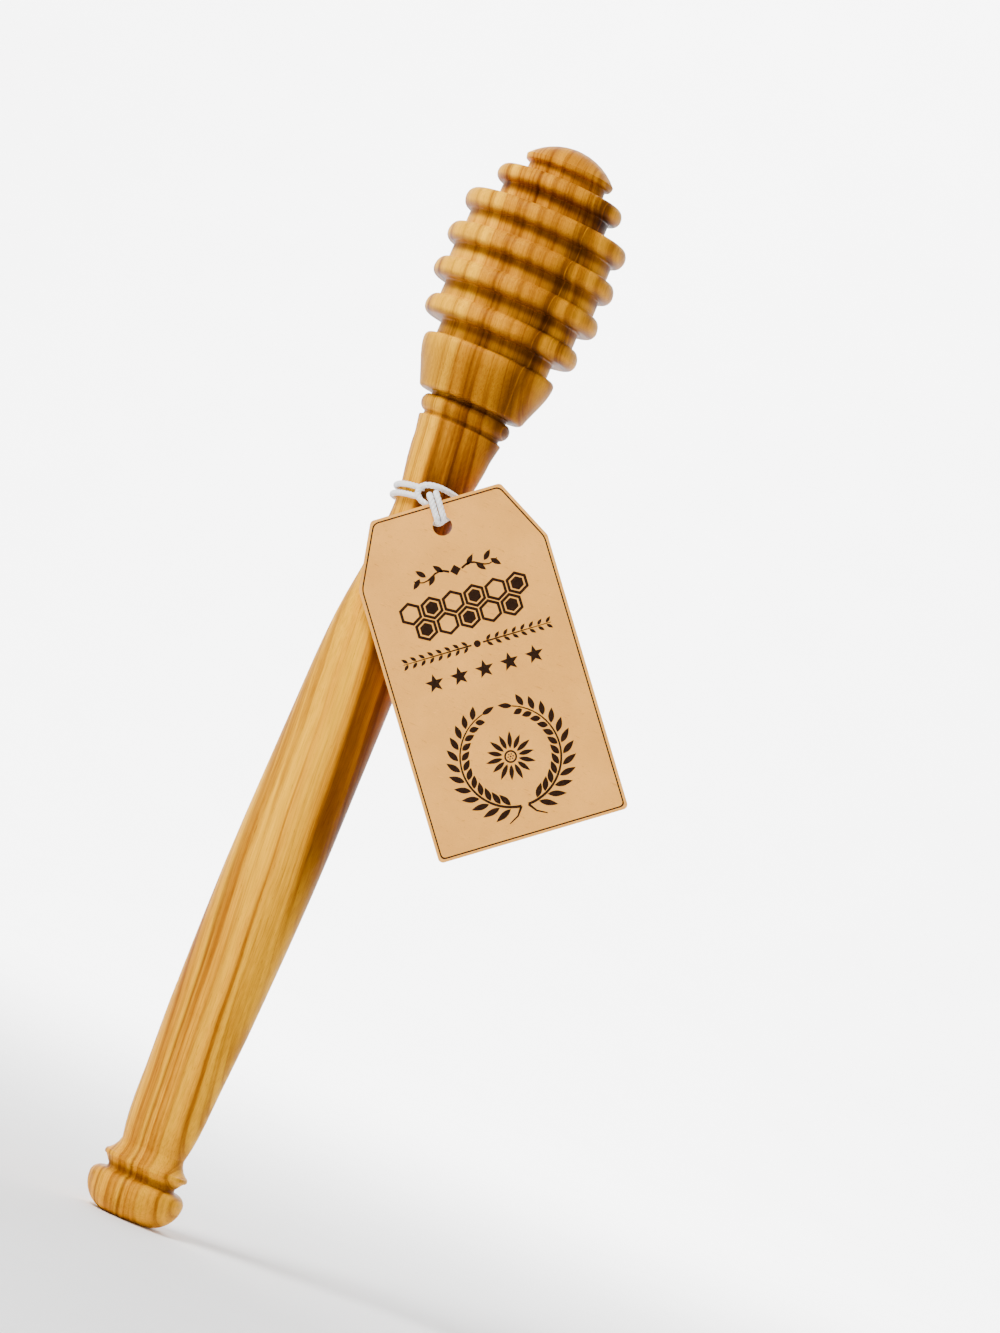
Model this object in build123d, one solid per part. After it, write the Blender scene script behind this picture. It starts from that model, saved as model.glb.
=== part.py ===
from build123d import *
import math
import os

# A honey dipper turned from one stick of olive wood, with a kraft hang tag on a thin cord.
# Millimetres. The dipper's axis is +Z, the origin is the centre of the flat at its butt,
# and the printed face of the tag looks along -Y.

# Knob at the butt
butt_flat_radius = 4.0
knob_radius = 7.7
knob_belly_height = 4.6
knob_shoulder_round = 1.65
knob_groove_radius = 5.5
knob_groove_width = 0.8

# Collar over the knob
collar_radius = 6.8
collar_height = 4.25
collar_nose = 0.35
collar_under_radius = 5.65
# Height of the collar's widest point, then of its rounding under and over it, as shares
collar_peak_share = 0.34
collar_nose_shares = (0.09, 0.13)
# Share of the way up and of the way out, for the middle of the cove over the collar
cove_shares = (0.42, 0.34)

# Handle, from the collar up to the flare under the bead
handle_length = 119.7
handle_foot_radius = 5.1
handle_belly_radius = 7.2
belly_height_share = 0.382
neck_radius = 4.9
neck_height_share = 0.868
flare_radius = 6.8
# Each pair is a share of the way up and a share of the change in radius
foot_to_belly_shares = ((0.085, 0.29), (0.243, 0.467), (0.409, 0.667), (0.65, 0.843))
belly_to_neck_shares = ((0.393, 0.078), (0.615, 0.152), (0.737, 0.339), (0.82, 0.6))
neck_to_flare_shares = ((0.355, 0.158), (0.568, 0.5), (0.787, 0.71))
# How far the side leans out for its height, at the foot and at the flare
handle_lean_shares = (0.22, 0.2)

# Bead between two fine grooves
fine_groove_width = 0.8
fine_groove_depth = 0.35
flare_edge_round = 0.25
bead_radius = 7.3
bead_height = 2.4

# Cup under the rings
cup_groove_width = 0.7
cup_groove_depth = 0.6
cup_groove_round = 0.15
cup_foot_radius = 8.7
cup_foot_nose = 0.8
cup_foot_height = 0.7
cup_foot_share = 0.8
cup_radius = 10.77
cup_height = 8.2
cup_shoulder_height = 0.8
cup_shoulder_nose = 0.7
# Share of the way up and of the way out, for the two handles of the cup's side curve
cup_side_shares = ((0.28, 0.27), (0.68, 1.0))

# Rings of the head, from the cup to the tip
ring_radii = (12.6, 13.6, 13.75, 13.3, 10.3)
ring_thicknesses = (3.15, 3.15, 3.15, 3.15, 2.75)
ring_nose = 1.15
ring_peak_shares = (0.42, 0.4, 0.42, 0.5, 0.45)
ring_gap = 2.65
ring_groove_depth = 1.55
groove_round = 0.3

# Domed tip
tip_gap = 1.9
tip_groove_depth = 0.9
dome_radius = 7.2
dome_edge_height = 0.9
dome_edge_nose = 0.4
dome_height = 3.25

# Hang tag
tag_width = 30.0
tag_length = 53.0
tag_top_width = 20.6
tag_clip_height = 9.6
tag_corner_round = 0.8
tag_thickness = 0.5
tag_hole_radius = 1.5
tag_hole_from_top = 3.8
tag_lean = 39.5
tag_hole_side = 3.5
tag_hole_height = 116.0
tag_stand_off = 0.9

# Cord, one length: both ends knotted behind the tag, the rest hitched round the neck
cord_diameter = 1.0
cord_gap = 0.42
cord_clearance = 0.05
neck_swell = 0.25
strand_gap = 0.04
strand_reach = 4.8
strand_seat = 0.72
knot_seat = 0.3
fold_radius = 1.0
body_gap = 0.35
knot_width = 3.2
knot_depth = 2.2
tail_length = 3.5
tail_splay = 12.0

# How far a curve's handles reach to round off a quarter turn
round_share = 0.5523

# Heights along the axis, worked out from the lengths above
knob_height = knob_belly_height + knob_shoulder_round
collar_foot = knob_height + knob_groove_width
handle_foot = collar_foot + collar_height
flare_top = handle_foot + handle_length
bead_foot = flare_top + fine_groove_width + flare_edge_round
bead_top = bead_foot + bead_height
cup_foot = bead_top + cup_groove_width
cup_top = cup_foot + cup_height
rings_top = cup_top + sum(ring_thicknesses) + len(ring_radii) * ring_gap
tip_foot = rings_top + tip_gap
tip_top = tip_foot + dome_edge_height + dome_height


def quarter(inner, peak, nose, height, rising):
    """Rounded edge from a flat side out to the widest point, or from there back in again."""
    widest = (inner + nose, peak)
    if rising:
        flat = (inner, peak - height)
        reach = (inner + round_share * nose, peak - height)
        return Bezier(flat, reach, (inner + nose, peak - round_share * height), widest)
    flat = (inner, peak + height)
    reach = (inner + round_share * nose, peak + height)
    return Bezier(widest, (inner + nose, peak + round_share * height), reach, flat)


def shares_between(start, end, shares):
    """Points between two (radius, height) ends, from shares of the way up and across."""
    (r0, z0), (r1, z1) = start, end
    return [(r0 + across * (r1 - r0), z0 + up * (z1 - z0)) for up, across in shares]


def knob_outline():
    """Butt flat, round belly, shoulder, and the hollow groove over it."""
    shoulder = (knob_radius - knob_shoulder_round, knob_height)
    low = (butt_flat_radius, 0)
    belly = (knob_radius, knob_belly_height)
    groove_end = (collar_under_radius, collar_foot)
    groove_mid = (knob_groove_radius, knob_height + knob_groove_width / 2)
    return [
        Line((0, 0), low),
        TangentArc(belly, low, tangent=(0, -1), tangent_from_first=True),
        quarter(shoulder[0], knob_belly_height, knob_shoulder_round, knob_shoulder_round, False),
        ThreePointArc(shoulder, groove_mid, groove_end),
    ]


def collar_outline():
    """A thin edge that slopes out over the groove, and the cove that runs into the handle."""
    nose_low, nose_high = (collar_height * share for share in collar_nose_shares)
    inner = collar_radius - collar_nose
    peak = collar_foot + collar_peak_share * collar_height
    cove_start = (inner, peak + nose_high)
    foot = (handle_foot_radius, handle_foot)
    up, out = cove_shares
    cove_height = cove_start[1] + up * (foot[1] - cove_start[1])
    cove = (foot[0] + out * (inner - foot[0]), cove_height)
    return [
        Line((collar_under_radius, collar_foot), (inner, peak - nose_low)),
        quarter(inner, peak, collar_nose, nose_low, True),
        quarter(inner, peak, collar_nose, nose_high, False),
        ThreePointArc(cove_start, cove, foot),
    ]


def handle_outline():
    """One long curve: slim foot, belly, narrow neck, and the flare under the bead."""
    foot = (handle_foot_radius, handle_foot)
    belly = (handle_belly_radius, handle_foot + belly_height_share * handle_length)
    neck = (neck_radius, handle_foot + neck_height_share * handle_length)
    flare = (flare_radius, flare_top)
    points = [foot, *shares_between(foot, belly, foot_to_belly_shares)]
    points += [belly, *shares_between(belly, neck, belly_to_neck_shares)]
    points += [neck, *shares_between(neck, flare, neck_to_flare_shares), flare]
    return [Spline(*points, tangents=[(out, 1) for out in handle_lean_shares])]


def bead_outline():
    """The flare's crisp edge, a fine groove, the bead, and the fine groove over it."""
    edge_inner = flare_radius - flare_edge_round
    groove_floor = edge_inner - fine_groove_depth
    bead_inner = (edge_inner, bead_foot)
    bead_end = (edge_inner + flare_edge_round, bead_top)
    edge_top = flare_top + flare_edge_round
    return [
        quarter(edge_inner, flare_top, flare_edge_round, flare_edge_round, False),
        ThreePointArc(
            (edge_inner, edge_top), (groove_floor, (edge_top + bead_foot) / 2), bead_inner
        ),
        ThreePointArc(bead_inner, (bead_radius, bead_foot + bead_height / 2), bead_end),
    ]


def cup_outline():
    """Undercut groove, flat underside, rounded foot, slanted side and crisp shoulder."""
    start = (flare_radius, bead_top)
    groove_floor = flare_radius - cup_groove_depth
    foot_inner = (cup_foot_radius - cup_foot_nose, cup_foot)
    foot = (cup_foot_radius, cup_foot + cup_foot_height)
    rim = (cup_radius, cup_top - cup_shoulder_height)
    side = shares_between(foot, rim, cup_side_shares)
    undercut = [start, (groove_floor, bead_top), (groove_floor, cup_foot), foot_inner]
    return [
        *FilletPolyline(*undercut, radius=cup_groove_round).edges(),
        Bezier(foot_inner, (foot_inner[0] + cup_foot_share * cup_foot_nose, cup_foot), foot),
        Bezier(foot, *side, rim),
        quarter(cup_radius - cup_shoulder_nose, rim[1], cup_shoulder_nose, cup_shoulder_height, False),
    ]


def groove_outline(outer_low, outer_high, floor, low, high):
    """A groove with flat sides, a flat floor and small rounds between them."""
    corners = [(outer_low, low), (floor, low), (floor, high), (outer_high, high)]
    return FilletPolyline(*corners, radius=groove_round).edges()


def head_outline():
    """The rings with the grooves between them, and the domed tip."""
    edges = []
    below_radius = cup_radius
    below_inner = cup_radius - cup_shoulder_nose
    low = cup_top
    for radius, thickness, peak_share in zip(ring_radii, ring_thicknesses, ring_peak_shares):
        foot = low + ring_gap
        inner = radius - ring_nose
        floor = min(radius, below_radius) - ring_groove_depth
        peak = foot + peak_share * thickness
        top = foot + thickness
        edges += groove_outline(below_inner, inner, floor, low, foot)
        edges.append(quarter(inner, peak, ring_nose, peak - foot, True))
        edges.append(quarter(inner, peak, ring_nose, top - peak, False))
        below_radius, below_inner, low = radius, inner, top
    dome_inner = dome_radius - dome_edge_nose
    dome_foot = tip_foot + dome_edge_height
    edges += groove_outline(below_inner, dome_inner, dome_radius - tip_groove_depth, low, tip_foot)
    edges.append(quarter(dome_inner, dome_foot, dome_edge_nose, dome_edge_height, True))
    edges.append(TangentArc((0, tip_top), (dome_radius, dome_foot), tangent=(1, 0)))
    edges.append(Line((0, tip_top), (0, 0)))
    return edges


def turned_dipper():
    """The whole stick, turned about its axis."""
    edges = knob_outline() + collar_outline() + handle_outline()
    edges += bead_outline() + cup_outline() + head_outline()
    outline = make_face(edges)
    return revolve(Plane.XZ * outline, Axis.Z)


# Depths are measured from the axis towards -Y, the side that the tag hangs on
tag_back = handle_belly_radius + tag_stand_off
tag_front = tag_back + tag_thickness
strand_depth = tag_front + cord_clearance + cord_diameter / 2
strand_foot = strand_depth - fold_radius - strand_gap
knot_top = tag_back - cord_clearance
lean = math.radians(tag_lean)
across = Vector(math.cos(lean), 0, math.sin(lean))
exit_side = tag_hole_side - strand_reach * math.sin(lean)
exit_height = tag_hole_height + strand_reach * math.cos(lean)

# The tag's own plane: x across it, y up it, z out of its printed face, origin in the hole
tag_plane = Plane(origin=(tag_hole_side, 0, tag_hole_height), x_dir=across, z_dir=(0, -1, 0))


def tag_card():
    """Card with two clipped top corners, rounded corners and a punched hole."""
    top = tag_hole_from_top
    bottom = top - tag_length
    half, half_top = tag_width / 2, tag_top_width / 2
    clip = top - tag_clip_height
    corners = [(-half_top, top), (half_top, top), (half, clip), (half, bottom)]
    corners += [(-half, bottom), (-half, clip)]
    blank = make_face(Polyline(*corners, close=True))
    blank = fillet(blank.vertices(), tag_corner_round)
    blank -= Circle(tag_hole_radius)
    return tag_plane * Pos(0, 0, tag_back) * extrude(blank, tag_thickness)


def path_radii(points, smallest):
    """The largest arc that the two runs at each point allow, but none under smallest."""
    radii = []
    for before, here, after in zip(points, points[1:], points[2:]):
        run_in, run_out = Vector(here) - Vector(before), Vector(after) - Vector(here)
        turn = math.radians(run_in.get_angle(run_out))
        shorter = min(run_in.length, run_out.length)
        radii.append(max(0.45 * shorter / math.tan(turn / 2), smallest))
    return radii


def tube(points, smallest, label):
    """A round cord along straight runs joined by arcs, with its length and arcs printed."""
    radii = path_radii(points, smallest)
    path = FilletPolyline(*points, radius=radii).wire()
    start = Plane(origin=path @ 0, z_dir=path % 0)
    solid = sweep(start * Circle(cord_diameter / 2), path=path)
    section = math.pi * (cord_diameter / 2) ** 2
    share = solid.volume / (section * path.length)
    print(f"{label}: length {path.length:.2f}, least arc {min(radii):.2f}, volume share {share:.4f}")
    return solid, path


def self_gap(path, skip):
    """Least gap between stretches of the cord that are more than skip apart along it."""
    count = 400
    points = [path @ (i / count) for i in range(count + 1)]
    away = math.ceil(skip * count / path.length)
    least = min((a - b).length for i, a in enumerate(points) for b in points[i + away:])
    return least - cord_diameter


wrap_radius = neck_radius + neck_swell + cord_clearance + cord_diameter / 2
# The rounded route lies this share of its corners' distance from the axis
corner_share = 0.976
# Each row is an angle round the neck from the front, towards +X, then shares of the cord's
# diameter: how far the cord climbs off the neck, and its height from where the strands leave
bight_climb_share = 1.0 + cord_gap / cord_diameter
hitch_shares = [
    (-14, 0.0, 0.62),
    (-39, 0.0, 0.5),
    (-66, 0.0, 0.15),
    (-94, 0.0, -0.2),
    (-122, 0.0, -0.3),
    (-150, 0.0, -0.25),
    (-178, 0.0, -0.1),
    (-206, 0.0, 0.0),
    (-234, 0.0, 0.2),
    (-262, 0.0, 0.45),
    (-290, 0.1, 0.8),
    (-316, 0.35, 1.3),
    (-338, 0.95, 1.62),
    (-359, bight_climb_share, 1.72),
    (-377, bight_climb_share, 0.95),
    (-377, bight_climb_share, -1.05),
    (-359, bight_climb_share, -1.75),
    (-338, 0.95, -1.7),
    (-316, 0.3, -1.62),
    (-290, 0.05, -1.56),
    (-262, 0.0, -1.6),
    (-234, 0.0, -1.65),
    (-206, 0.0, -1.7),
    (-178, 0.0, -1.75),
    (-150, 0.0, -1.8),
    (-122, 0.0, -1.8),
    (-94, 0.0, -1.68),
    (-66, 0.0, -1.4),
    (-39, 0.0, -1.02),
    (-14, 0.0, -0.82),
]


def on_neck(angle, climb_share, height_share):
    """A corner of the hitch's route, pushed out so that its arcs lie on the wrap radius."""
    corner_radius = (wrap_radius + climb_share * cord_diameter) / corner_share
    turn = math.radians(angle)
    height = exit_height + height_share * cord_diameter
    return (corner_radius * math.sin(turn), -corner_radius * math.cos(turn), height)


def cord_hitch():
    """Lark's head: two turns round the neck and the bight that crosses over their ends."""
    points = [on_neck(*row) for row in hitch_shares]
    solid, path = tube(points, cord_diameter, "cord_hitch")
    print(f"cord_hitch: least gap to itself {self_gap(path, 4 * cord_diameter):.2f}")
    return solid


def on_pair(point_along, depth, side):
    """A point of one strand: along is down the tag from where the strands leave the neck."""
    offset = side * (cord_diameter + strand_gap) / 2
    return tag_plane.from_local_coords(Vector(offset, strand_reach - point_along, depth))


def cord_lead():
    """The two short stubs that come out through the bight."""
    lead_foot = wrap_radius - cord_clearance
    length = strand_foot - body_gap - lead_foot
    stubs = []
    for side in (-1, 1):
        foot = Plane(on_pair(0, lead_foot, side), z_dir=(0, -1, 0))
        stubs.append(Solid.make_cylinder(cord_diameter / 2, length, foot))
    return Compound(children=stubs)


def cord_strands():
    """The two strands that fold over the tag's top edge and go down into its hole."""
    strands = []
    down = strand_reach - strand_seat
    for side in (-1, 1):
        points = [
            on_pair(0, strand_foot, side),
            on_pair(0, strand_depth, side),
            on_pair(down, strand_depth, side),
            on_pair(down, knot_top, side),
        ]
        solid, _ = tube(points, fold_radius, "cord_strands")
        strands.append(solid)
    return Compound(children=strands)


def cord_knot():
    """Flattened knot that bears on the back of the tag, with its two short tails."""
    middle = knot_top - knot_depth / 2 + cord_diameter / 4
    half_width, half_depth = knot_width / 2, knot_depth / 2
    under = quarter(0, 0, half_width, half_depth, True)
    over = quarter(0, 0, half_width, half_depth, False)
    section = make_face([under, over, Line(over @ 1, under @ 0)])
    knot = tag_plane * Pos(0, knot_seat, middle) * revolve(Plane.XZ * section, Axis.Z)
    seat = Box(2 * knot_width, 2 * knot_width, knot_depth, align=(Align.CENTER, Align.CENTER, Align.MIN))
    knot -= tag_plane * Pos(0, knot_seat, knot_top) * seat
    for side in (-1, 1):
        offset = side * (cord_diameter + strand_gap) / 2
        start = tag_plane.from_local_coords(Vector(offset, knot_seat, middle))
        swing = math.radians(tail_splay) * side
        tail_dir = across * math.sin(swing) - tag_plane.y_dir * math.cos(swing)
        length = half_width + tail_length
        knot += Solid.make_cylinder(cord_diameter / 2, length, Plane(start, z_dir=tail_dir))
    return knot


def save(name, shape):
    """Writes one node and prints its size."""
    shape.label = name
    export_step(shape, f"parts/{name}.step")
    box = shape.bounding_box()
    print(f"{name}: volume {shape.volume:.1f}, from {box.min} to {box.max}")


os.makedirs("parts", exist_ok=True)
save("turned_dipper", turned_dipper())
save("tag_card", tag_card())
save("cord_hitch", cord_hitch())
save("cord_lead", cord_lead())
save("cord_strands", cord_strands())
save("cord_knot", cord_knot())
print(f"overall height {tip_top:.2f}, strands leave at side {exit_side:.2f}, height {exit_height:.2f}")
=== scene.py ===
# %% [markdown]
# # A turned honey dipper with a kraft hang tag
# The object is one stick of olive wood, turned on a lathe, with a printed card that hangs
# from its neck on a thin white cord. The shapes of the wood and the card come from the CAD
# frame. This lesson gives them their finishes, winds the cord from real plies, and prints
# the card. Every length below is in millimetres, and `MM` turns it into Blender's metres.

# %% Load the frame
import bpy
import math
import numpy as np
from mathutils import Matrix, Vector


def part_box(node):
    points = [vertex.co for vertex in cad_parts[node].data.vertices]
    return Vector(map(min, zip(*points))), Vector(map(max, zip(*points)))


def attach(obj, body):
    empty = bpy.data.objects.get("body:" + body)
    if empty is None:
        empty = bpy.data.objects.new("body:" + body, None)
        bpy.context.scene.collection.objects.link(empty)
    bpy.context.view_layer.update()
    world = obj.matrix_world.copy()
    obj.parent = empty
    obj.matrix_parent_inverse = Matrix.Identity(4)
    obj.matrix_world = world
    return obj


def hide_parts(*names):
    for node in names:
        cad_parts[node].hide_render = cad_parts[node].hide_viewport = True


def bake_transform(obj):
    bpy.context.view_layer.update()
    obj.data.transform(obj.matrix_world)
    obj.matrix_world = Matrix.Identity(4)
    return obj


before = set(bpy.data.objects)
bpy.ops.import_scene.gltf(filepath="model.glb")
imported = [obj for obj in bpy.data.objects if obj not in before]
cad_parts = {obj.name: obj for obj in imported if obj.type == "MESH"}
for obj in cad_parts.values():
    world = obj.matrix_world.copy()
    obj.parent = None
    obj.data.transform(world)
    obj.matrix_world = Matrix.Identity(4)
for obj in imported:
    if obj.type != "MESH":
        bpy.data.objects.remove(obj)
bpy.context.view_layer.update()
MM = 0.001

# %% [markdown]
# ## The camera
# The photograph was taken with a long lens from most of a metre away, a little below the
# middle of the stick and looking slightly up. That shows in the round edges: the rings curve
# up in the picture, and the knob's lower edge curves down. The stick leans to the right, but
# the part stands upright in its own frame, so here the camera rolls instead. A rolled camera
# shows the same picture as a leaning stick, and nothing of the part has to move.

# %% Place the camera
PITCH = math.radians(2.38)
ROLL = math.radians(23.03)
CAMERA_PLACE = (19.94, -820.0, 66.0)
LENS = 144.2
SENSOR_HEIGHT = 36.0


def add_camera():
    """A camera with the photograph's place, pitch, roll and lens."""
    data = bpy.data.cameras.new("photo_camera")
    data.sensor_fit = "VERTICAL"
    data.sensor_height = SENSOR_HEIGHT
    data.lens = LENS
    camera = bpy.data.objects.new("photo_camera", data)
    bpy.context.collection.objects.link(camera)
    side = Vector((1, 0, 0))
    rise = Vector((0, -math.sin(PITCH), math.cos(PITCH)))
    right = math.cos(ROLL) * side + math.sin(ROLL) * rise
    up = math.cos(ROLL) * rise - math.sin(ROLL) * side
    back = right.cross(up)
    turn = Matrix((right, up, back)).transposed().to_4x4()
    camera.matrix_world = Matrix.Translation(Vector(CAMERA_PLACE) * MM) @ turn
    bpy.context.scene.camera = camera
    return camera


camera = add_camera()
print("camera looks along", [round(v, 3) for v in -camera.matrix_world.col[2].to_3d()])

# %% [markdown]
# ## Where the card hangs
# The card lies in a plane in front of the handle, and it leans from the stick's axis. The
# cord and the print are easiest to place in the card's own directions, so one small helper
# turns a point on the card into a point of the frame: across the card, up the card, and
# out from the stick's axis towards the viewer.

# %% The card's own directions
CARD_LEAN = math.radians(39.5)
HOLE_SIDE, HOLE_HEIGHT = 3.5, 116.0
HOLE_FROM_TOP = 3.8
CARD_WIDTH, CARD_LENGTH = 30.0, 53.0
CARD_TOP_WIDTH, CARD_CLIP_HEIGHT = 20.6, 9.6
CARD_BACK, CARD_FRONT = 8.1, 8.6
ACROSS = Vector((math.cos(CARD_LEAN), 0, math.sin(CARD_LEAN)))
UPWARD = Vector((-math.sin(CARD_LEAN), 0, math.cos(CARD_LEAN)))
OUTWARD = Vector((0, -1, 0))


def on_card(side, rise, depth):
    """A point given across and up the card from its hole, and by its depth from the axis."""
    hole = Vector((HOLE_SIDE, 0, HOLE_HEIGHT))
    return (hole + side * ACROSS + rise * UPWARD + depth * OUTWARD) * MM


front_gap = abs(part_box("tag_card")[0][1] / MM + CARD_FRONT)
print(f"card's printed face is {front_gap:.3f} mm from the place used here")

# %% [markdown]
# ## The cord's route
# One length of white cotton cord, 1 mm thick, makes a lark's head round the neck: two turns,
# and a bight that crosses over the place where both ends come out. The route repeats the
# points of the CAD model, as the control points of a smooth NURBS line, with the bight drawn
# slightly tighter round the strands. Each row is an angle round the neck, then two shares of
# the cord's diameter: how far the cord climbs off the neck, and its height from the place
# where the ends leave.

# %% Route of the hitch
CORD = 1.0
WRAP_RADIUS = 5.7
CORNER_SHARE = 0.976
STRAND_REACH = 4.8
LEAVE_HEIGHT = HOLE_HEIGHT + STRAND_REACH * math.cos(CARD_LEAN)
BIGHT_CLIMB = 1.42
HITCH_ROWS = [
    (-14, 0.0, 0.62), (-39, 0.0, 0.5), (-66, 0.0, 0.15), (-94, 0.0, -0.2), (-122, 0.0, -0.3),
    (-150, 0.0, -0.25), (-178, 0.0, -0.1), (-206, 0.0, 0.0), (-234, 0.0, 0.2),
    (-262, 0.0, 0.45), (-290, 0.1, 0.78), (-316, 0.35, 1.25), (-338, 0.95, 1.55),
    (-359, BIGHT_CLIMB, 1.65), (-376, BIGHT_CLIMB, 0.95), (-376, BIGHT_CLIMB, -1.0),
    (-359, BIGHT_CLIMB, -1.68), (-338, 0.95, -1.62), (-316, 0.3, -1.58), (-290, 0.05, -1.55),
    (-262, 0.0, -1.6), (-234, 0.0, -1.65), (-206, 0.0, -1.7), (-178, 0.0, -1.75),
    (-150, 0.0, -1.8), (-122, 0.0, -1.8), (-94, 0.0, -1.68), (-66, 0.0, -1.4),
    (-39, 0.0, -1.02), (-14, 0.0, -0.82),
]


def on_neck(angle, climb, height):
    """A control point of the hitch, from its angle and its two shares of the cord."""
    radius = (WRAP_RADIUS + climb * CORD) / CORNER_SHARE
    turn = math.radians(angle)
    place = (radius * math.sin(turn), -radius * math.cos(turn), LEAVE_HEIGHT + height * CORD)
    return Vector(place) * MM


def smooth_line(name, points, steps=24):
    """The points of a NURBS line through control points, as Blender works them out."""
    curve = bpy.data.curves.new(name, "CURVE")
    curve.dimensions = "3D"
    spline = curve.splines.new("NURBS")
    spline.points.add(len(points) - 1)
    for place, point in zip(spline.points, points):
        place.co = (*point, 1)
    spline.order_u = 3
    spline.use_endpoint_u = True
    spline.resolution_u = steps
    holder = bpy.data.objects.new(name, curve)
    bpy.context.collection.objects.link(holder)
    bpy.context.view_layer.update()
    mesh = bpy.data.meshes.new_from_object(holder)
    line = np.array([v.co for v in mesh.vertices])
    bpy.data.meshes.remove(mesh)
    bpy.data.objects.remove(holder)
    bpy.data.curves.remove(curve)
    return line


def step_lengths(line):
    """Distances from each point of a line to the next."""
    return np.linalg.norm(np.diff(line, axis=0), axis=1)


def line_length(line):
    """Length of a line of points."""
    return float(step_lengths(line).sum())


hitch_line = smooth_line("hitch_line", [on_neck(*row) for row in HITCH_ROWS])
print(f"hitch: {len(hitch_line)} points, {line_length(hitch_line) / MM:.1f} mm long")

# %% [markdown]
# ## Twisted cord
# Cotton tag cord is three plies twisted together, and the light catches each ply as a short
# slanted bump. A bump map on a plain tube would give a smooth outline, so the plies are made
# for real: three thin tubes that wind round the line at a steady pitch. A frame carried
# along the line, without spin of its own, keeps the twist even where the line bends.

# %% Lay three plies along a line
PLY_COUNT = 3
PLY_RADIUS_SHARE = 0.3
PLY_OFFSET_SHARE = 0.185
PLY_PITCH = 1.9
PLY_SIDES = 10


def carried_frames(line):
    """Two directions square to the line at each point, carried along it without twist."""
    along = np.gradient(line, axis=0)
    along /= np.linalg.norm(along, axis=1)[:, None]
    helper = np.array([0.0, 0.0, 1.0]) if abs(along[0][2]) < 0.9 else np.array([1.0, 0.0, 0.0])
    first = np.cross(along[0], helper)
    first /= np.linalg.norm(first)
    firsts = [first]
    for direction in along[1:]:
        first = firsts[-1] - direction * np.dot(firsts[-1], direction)
        firsts.append(first / np.linalg.norm(first))
    firsts = np.array(firsts)
    return along, firsts, np.cross(along, firsts)


def tube_rings(line, radius, sides):
    """Vertices and faces of a closed tube of one radius along a line."""
    along, first, second = carried_frames(line)
    turns = np.linspace(0, 2 * math.pi, sides, endpoint=False)
    cosines, sines = np.cos(turns)[None, :, None], np.sin(turns)[None, :, None]
    ring = first[:, None] * cosines + second[:, None] * sines
    points = (line[:, None] + radius * ring).reshape(-1, 3)
    faces = []
    for i in range(len(line) - 1):
        for j in range(sides):
            k = (j + 1) % sides
            low, high = i * sides, (i + 1) * sides
            faces.append((low + j, low + k, high + k, high + j))
    faces.append(tuple(reversed(range(sides))))
    faces.append(tuple((len(line) - 1) * sides + j for j in range(sides)))
    return points, faces


def twisted_cord(lines, diameter):
    """Vertices and faces of the plies of one or more cords."""
    points, faces, count = [], [], 0
    for line in lines:
        _, first, second = carried_frames(line)
        travelled = np.concatenate([[0], np.cumsum(step_lengths(line))])
        for ply in range(PLY_COUNT):
            turn = 2 * math.pi * (travelled / (PLY_PITCH * MM) + ply / PLY_COUNT)
            off = first * np.cos(turn)[:, None] + second * np.sin(turn)[:, None]
            ply_line = line + PLY_OFFSET_SHARE * diameter * off
            ply_points, ply_faces = tube_rings(ply_line, PLY_RADIUS_SHARE * diameter, PLY_SIDES)
            points.append(ply_points)
            faces += [tuple(index + count for index in face) for face in ply_faces]
            count += len(ply_points)
    return np.concatenate(points), faces


def mesh_object(name, points, faces, smooth=True):
    """A new mesh object in metres."""
    mesh = bpy.data.meshes.new(name)
    mesh.from_pydata([tuple(point) for point in points], [], faces)
    mesh.validate()
    mesh.polygons.foreach_set("use_smooth", [smooth] * len(mesh.polygons))
    thing = bpy.data.objects.new(name, mesh)
    bpy.context.collection.objects.link(thing)
    return thing


hitch = mesh_object("hitch_cord", *twisted_cord([hitch_line], CORD * MM))
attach(hitch, "hitch")
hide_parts("cord_hitch")
print("hitch plies:", len(hitch.data.vertices), "vertices")

# %% [markdown]
# ## The two strands
# Both ends of the cord come out under the bight, fold over the top edge of the card and dive into
# its hole. The card swings and lifts on this short stretch. Each row of their route says how far
# down the card a point lies, and how far out from the stick's axis.

# %% Fold the strands over the card
STRAND_SIDE = 0.52
STRAND_ROUTE = [
    (0.0, 5.5), (-0.3, 7.4), (-0.3, 9.0), (1.2, 9.25), (2.6, 9.15), (3.9, 9.25), (3.95, 7.1),
]


def strand_line(side):
    """Line of one strand, from the neck to the knot behind the card."""
    route = []
    for down, depth in STRAND_ROUTE:
        route.append(on_card(side * STRAND_SIDE, STRAND_REACH - down, depth))
    return smooth_line("strand_line", route)


strand_lines = [strand_line(side) for side in (-1, 1)]
strands = mesh_object("strand_cords", *twisted_cord(strand_lines, CORD * MM))
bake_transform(strands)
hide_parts("cord_lead", "cord_strands")
print(f"strands: 2 of {line_length(strand_lines[0]) / MM:.1f} mm")

# %% [markdown]
# ## The knot behind the card
# An overhand knot keeps the ends in the hole. Its cord runs along a trefoil, which is what an
# overhand knot looks like when it is pulled tight, and its two tails hang down the card on
# both sides of the hole. The card hangs on the strands, so the knot sits against the upper
# edge of the hole, and the lower half of the hole stays open and dark, as in the photograph.
# Each row of a tail's route is a distance to its side, a rise, and how far behind the knot's
# middle it lies.

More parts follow.
